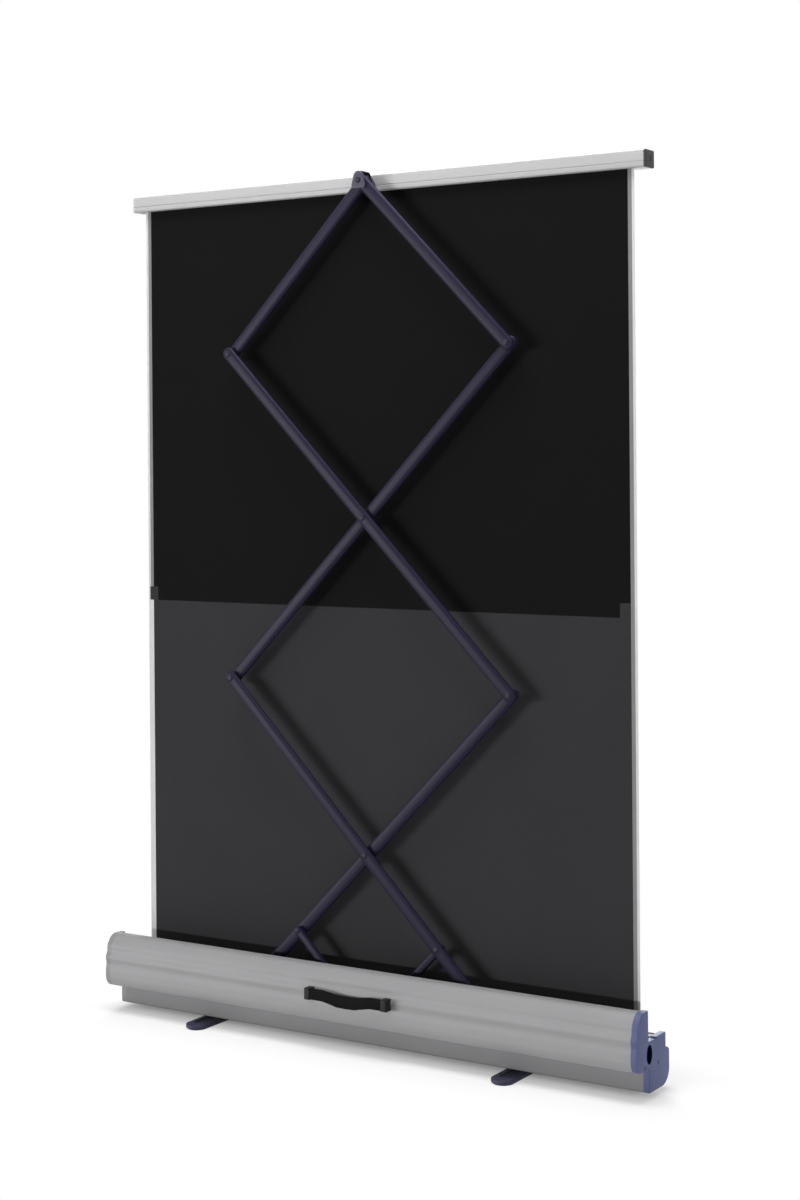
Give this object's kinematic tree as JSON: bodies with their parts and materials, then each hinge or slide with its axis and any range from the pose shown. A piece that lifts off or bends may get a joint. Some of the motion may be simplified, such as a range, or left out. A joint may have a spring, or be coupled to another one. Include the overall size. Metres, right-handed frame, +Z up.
{
  "type": "portable floor projector screen",
  "caption": "Pull-up floor projection screen: cloth rolled in a long metal housing, lifted by a rear scissor stand under a top bar, on two swing-out feet.",
  "frame": {"origin": "centre of the overall box on the floor plane, under the trough of the housing, midway between its ends", "axes": "+X to the left as seen from the rear (scissor) side, along the housing; +Y towards the rear, where the scissor stand and the handle are; +Z up"},
  "size_m": [1.17, 0.214, 1.6368],
  "materials": {
    "housing_metal": "satin anodised",
    "steel": "bright zinc",
    "violet_paint": "satin violet coating",
    "violet_plastic": "fine satin moulding",
    "navy_plastic": "fine satin moulding",
    "black_plastic": "fine grain",
    "grey_plastic": "satin",
    "rubber": "dull",
    "black_cloth": "coated weave, dull",
    "grey_cloth": "coated weave, dull",
    "strip_cloth": "woven tape"
  },
  "bodies": {
    "housing": {"housing_shell": "housing_metal", "end_plate_left": "grey_plastic", "end_plate_right": "violet_plastic", "end_screw_left_front": "steel", "end_screw_left_rear": "steel", "end_screw_right_front": "steel", "end_screw_right_rear": "steel", "foot_bolt_left": "steel", "foot_bolt_right": "steel", "rail_left": "steel", "rail_right": "steel", "centre_bracket": "steel", "centre_pin": "steel", "handle_lug_left": "black_plastic", "handle_lug_right": "black_plastic", "roller_shaft": "steel", "roller_seat_left": "black_plastic", "roller_seat_right": "black_plastic", "roller_spring": "steel", "cloth_panel": "black_cloth", "cloth_leader": "grey_cloth", "cloth_edge_left": "strip_cloth", "cloth_edge_right": "strip_cloth"},
    "foot_left": {"foot_left": "navy_plastic", "foot_sole_left": "rubber"},
    "foot_right": {"foot_right": "navy_plastic", "foot_sole_right": "rubber"},
    "handle": {"handle_grip": "black_plastic"},
    "roller": {"roller_tube": "housing_metal", "roller_plug_left": "black_plastic", "roller_plug_right": "black_plastic", "leader_wrap": "grey_cloth"},
    "link_left": {"link_left": "violet_paint"},
    "link_right": {"link_right": "violet_paint"},
    "arm_a": {"arm_a": "violet_paint", "rivet_carriage_left": "steel", "rivet_link_left": "steel", "rivet_cross_low": "steel"},
    "arm_b": {"arm_b": "violet_paint", "rivet_carriage_right": "steel", "rivet_link_right": "steel"},
    "arm_c": {"arm_c": "violet_paint", "rivet_elbow_low_right": "steel", "rivet_cross_high": "steel", "rivet_elbow_high_left": "steel"},
    "arm_d": {"arm_d": "violet_paint", "rivet_elbow_low_left": "steel", "rivet_elbow_high_right": "steel"},
    "arm_e": {"arm_e": "violet_paint"},
    "arm_f": {"arm_f": "violet_paint"},
    "carriage_left": {"carriage_left": "black_plastic"},
    "carriage_right": {"carriage_right": "black_plastic"},
    "top_bar": {"top_bar": "housing_metal", "top_bar_cap_left": "grey_plastic", "top_bar_cap_right": "black_plastic", "apex_bracket": "violet_plastic", "apex_pin": "steel", "cloth_edge_rod": "grey_plastic"}
  },
  "joints": [
    {"name": "scissor_fold", "type": "hinge", "parent": "housing", "child": "link_left", "pos_m": [0, 0.0232, 0.044], "axis": [0, 1, 0], "range_deg": [0, 42.8], "deforming": ["cloth_panel", "cloth_leader", "cloth_edge_left", "cloth_edge_right"]},
    {"name": "arm_a_turn", "type": "hinge", "parent": "link_left", "child": "arm_a", "pos_m": [0.1549, 0.0232, 0.20163], "axis": [0, -1, 0], "range_deg": [0, 85.6]},
    {"name": "carriage_left_turn", "type": "hinge", "parent": "arm_a", "child": "carriage_left", "pos_m": [0.3098, 0.0232, 0.044], "axis": [0, 1, 0], "range_deg": [0, 42.8]},
    {"name": "arm_c_turn", "type": "hinge", "parent": "arm_a", "child": "arm_c", "pos_m": [-0.3098, 0.0232, 0.67451], "axis": [0, 1, 0], "range_deg": [0, 85.6]},
    {"name": "arm_e_turn", "type": "hinge", "parent": "arm_c", "child": "arm_e", "pos_m": [0.3098, 0.0232, 1.30503], "axis": [0, -1, 0], "range_deg": [0, 85.6]},
    {"name": "top_bar_turn", "type": "hinge", "parent": "arm_e", "child": "top_bar", "pos_m": [0, 0.0232, 1.62028], "axis": [0, 1, 0], "range_deg": [0, 42.8]},
    {"name": "link_right_turn", "type": "hinge", "parent": "housing", "child": "link_right", "pos_m": [0, 0.0232, 0.044], "axis": [0, -1, 0], "range_deg": [0, 42.8]},
    {"name": "arm_b_turn", "type": "hinge", "parent": "link_right", "child": "arm_b", "pos_m": [-0.1549, 0.0232, 0.20163], "axis": [0, 1, 0], "range_deg": [0, 85.6]},
    {"name": "carriage_right_turn", "type": "hinge", "parent": "arm_b", "child": "carriage_right", "pos_m": [-0.3098, 0.0232, 0.044], "axis": [0, -1, 0], "range_deg": [0, 42.8]},
    {"name": "arm_d_turn", "type": "hinge", "parent": "arm_b", "child": "arm_d", "pos_m": [0.3098, 0.0232, 0.67451], "axis": [0, -1, 0], "range_deg": [0, 85.6]},
    {"name": "arm_f_turn", "type": "hinge", "parent": "arm_d", "child": "arm_f", "pos_m": [-0.3098, 0.0232, 1.30503], "axis": [0, 1, 0], "range_deg": [0, 85.6]},
    {"name": "roller_spin", "type": "hinge", "parent": "housing", "child": "roller", "pos_m": [0, -0.01998, 0.04], "axis": [-1, 0, 0], "range_deg": [0, 5768]},
    {"name": "foot_left_swing", "type": "hinge", "parent": "housing", "child": "foot_left", "pos_m": [0.357, 0, 0.0092], "axis": [0, 0, 1], "range_deg": [0, 90]},
    {"name": "foot_right_swing", "type": "hinge", "parent": "housing", "child": "foot_right", "pos_m": [-0.323, 0, 0.0092], "axis": [0, 0, -1], "range_deg": [0, 90]},
    {"name": "handle_swing", "type": "hinge", "parent": "housing", "child": "handle", "pos_m": [0, 0.1, 0.106], "axis": [1, 0, 0], "range_deg": [0, 100]}
  ],
  "couplings": [
    {"joint": "arm_a_turn", "follows": "scissor_fold", "ratio": 2},
    {"joint": "carriage_left_turn", "follows": "scissor_fold", "ratio": 1},
    {"joint": "arm_c_turn", "follows": "scissor_fold", "ratio": 2},
    {"joint": "arm_e_turn", "follows": "scissor_fold", "ratio": 2},
    {"joint": "top_bar_turn", "follows": "scissor_fold", "ratio": 1},
    {"joint": "link_right_turn", "follows": "scissor_fold", "ratio": 1},
    {"joint": "arm_b_turn", "follows": "scissor_fold", "ratio": 2},
    {"joint": "carriage_right_turn", "follows": "scissor_fold", "ratio": 1},
    {"joint": "arm_d_turn", "follows": "scissor_fold", "ratio": 2},
    {"joint": "arm_f_turn", "follows": "scissor_fold", "ratio": 2},
    {"joint": "roller_spin", "follows": "scissor_fold", "ratio": 134.3}
  ]
}
